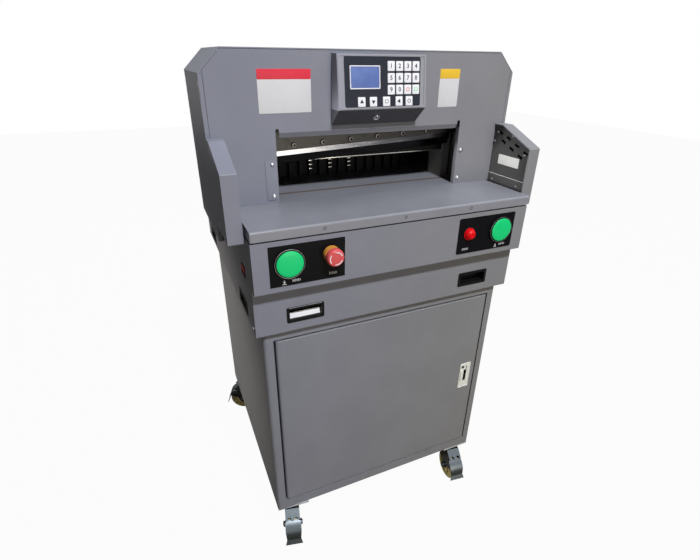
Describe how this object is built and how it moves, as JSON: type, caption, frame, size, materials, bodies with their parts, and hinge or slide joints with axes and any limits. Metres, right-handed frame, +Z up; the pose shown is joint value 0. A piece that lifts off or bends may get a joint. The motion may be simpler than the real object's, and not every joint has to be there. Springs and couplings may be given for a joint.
{
  "type": "electric paper cutter on a cabinet stand",
  "caption": "Electric guillotine paper cutter with clamp, back gauge and two-hand controls, on a cabinet stand with braked swivel casters.",
  "frame": {"origin": "on the floor under the middle of the outer box: midway across the machine and midway between the stop button's front and the rear cover", "axes": "+X to the operator's right, +Y from the operator towards the back, +Z up"},
  "size_m": [0.785, 0.7886, 1.356],
  "materials": {
    "black_plastic": "fine grain",
    "blade_steel": "ground",
    "cabinet_paint": "fine textured satin",
    "dark_steel": "dark machined",
    "green_plastic": "glossy",
    "housing_paint": "fine textured satin",
    "light_plastic": "smooth satin",
    "panel_film": "printed film",
    "red_plastic": "glossy",
    "stick_plastic": "matte",
    "table_paint": "smooth satin",
    "wheel_nylon": "worn nylon",
    "zinc_steel": "zinc plated"
  },
  "bodies": {
    "machine": {"bed": "table_paint", "body_back_panel": "housing_paint", "body_left_panel": "housing_paint", "body_right_panel": "housing_paint", "button_bezels": "black_plastic", "cabinet_back_wall": "cabinet_paint", "cabinet_decks": "cabinet_paint", "cabinet_left_wall": "cabinet_paint", "cabinet_posts": "cabinet_paint", "cabinet_rails": "cabinet_paint", "cabinet_right_wall": "cabinet_paint", "caster_plates": "zinc_steel", "control_box": "housing_paint", "control_overlays": "panel_film", "control_unit": "housing_paint", "control_unit_face": "panel_film", "cutting_stick": "stick_plastic", "front_pull_handles": "black_plastic", "front_table": "table_paint", "head_front_cover": "housing_paint", "head_left_side": "housing_paint", "head_rear_cover": "housing_paint", "head_right_side": "housing_paint", "head_top_cover": "housing_paint", "knife_guides": "dark_steel", "left_wing": "housing_paint", "pilot_lamp": "red_plastic", "rear_cover": "housing_paint", "right_wing": "housing_paint", "side_pull_handles": "black_plastic", "skirt_front": "housing_paint", "top_crossbeam": "dark_steel", "wing_inner_plates": "dark_steel"},
    "door": {"cabinet_door": "cabinet_paint", "door_latch": "light_plastic"},
    "knife_slide": {"knife_carrier": "dark_steel", "knife": "blade_steel"},
    "clamp": {"clamp_beam": "dark_steel"},
    "back_gauge": {"back_gauge": "dark_steel"},
    "green_button_left": {"green_button_left": "green_plastic"},
    "green_button_right": {"green_button_right": "green_plastic"},
    "estop_button": {"estop_button": "red_plastic"},
    "rocker_switch": {"rocker_switch": "red_plastic"},
    "caster_front_left": {"caster_fork_front_left": "zinc_steel"},
    "wheel_front_left": {"caster_wheel_front_left": "wheel_nylon"},
    "caster_front_right": {"caster_fork_front_right": "zinc_steel"},
    "wheel_front_right": {"caster_wheel_front_right": "wheel_nylon"},
    "caster_rear_left": {"caster_fork_rear_left": "zinc_steel"},
    "wheel_rear_left": {"caster_wheel_rear_left": "wheel_nylon"},
    "caster_rear_right": {"caster_fork_rear_right": "zinc_steel"},
    "wheel_rear_right": {"caster_wheel_rear_right": "wheel_nylon"}
  },
  "joints": [
    {"name": "door_hinge", "type": "hinge", "parent": "machine", "child": "door", "pos_m": [-0.301, -0.31225, 0.45], "axis": [0, 0, -1], "range_deg": [0, 90]},
    {"name": "knife_swing", "type": "hinge", "parent": "machine", "child": "knife_slide", "pos_m": [-1.8799, -0.12375, 1.0755], "axis": [0, 1, 0], "range_deg": [0, 2.5]},
    {"name": "clamp_stroke", "type": "slide", "parent": "machine", "child": "clamp", "axis": [0, 0, 1], "range_m": [-0.0695, 0]},
    {"name": "back_gauge_travel", "type": "slide", "parent": "machine", "child": "back_gauge", "axis": [0, 1, 0], "range_m": [-0.08, 0.305]},
    {"name": "green_button_left_press", "type": "slide", "parent": "machine", "child": "green_button_left", "axis": [0, 1, 0], "range_m": [0, 0.004], "stiffness_N_per_m": 1500},
    {"name": "green_button_right_press", "type": "slide", "parent": "machine", "child": "green_button_right", "axis": [0, 1, 0], "range_m": [0, 0.004], "stiffness_N_per_m": 1500},
    {"name": "estop_press", "type": "slide", "parent": "machine", "child": "estop_button", "axis": [0, 1, 0], "range_m": [0, 0.004], "stiffness_N_per_m": 1500},
    {"name": "rocker_tilt", "type": "hinge", "parent": "machine", "child": "rocker_switch", "pos_m": [-0.351, -0.25875, 0.907], "axis": [0, 1, 0], "range_deg": [0, 16]},
    {"name": "swivel_front_left", "type": "hinge", "parent": "machine", "child": "caster_front_left", "pos_m": [-0.288, -0.27625, 0.13], "axis": [0, 0, 1], "continuous": true},
    {"name": "wheel_spin_front_left", "type": "hinge", "parent": "caster_front_left", "child": "wheel_front_left", "pos_m": [-0.2952, -0.30743, 0.05], "axis": [0.9744, -0.225, 0], "continuous": true},
    {"name": "swivel_front_right", "type": "hinge", "parent": "machine", "child": "caster_front_right", "pos_m": [0.288, -0.27625, 0.13], "axis": [0, 0, 1], "continuous": true},
    {"name": "wheel_spin_front_right", "type": "hinge", "parent": "caster_front_right", "child": "wheel_front_right", "pos_m": [0.2841, -0.30801, 0.05], "axis": [0.9925, -0.1219, 0], "continuous": true},
    {"name": "swivel_rear_left", "type": "hinge", "parent": "machine", "child": "caster_rear_left", "pos_m": [-0.288, 0.31425, 0.13], "axis": [0, 0, 1], "continuous": true},
    {"name": "wheel_spin_rear_left", "type": "hinge", "parent": "caster_rear_left", "child": "wheel_rear_left", "pos_m": [-0.31767, 0.32624, 0.05], "axis": [-0.3746, -0.9272, 0], "continuous": true},
    {"name": "swivel_rear_right", "type": "hinge", "parent": "machine", "child": "caster_rear_right", "pos_m": [0.288, 0.31425, 0.13], "axis": [0, 0, 1], "continuous": true},
    {"name": "wheel_spin_rear_right", "type": "hinge", "parent": "caster_rear_right", "child": "wheel_rear_right", "pos_m": [0.31571, 0.33025, 0.05], "axis": [-0.5, 0.866, 0], "continuous": true}
  ]
}
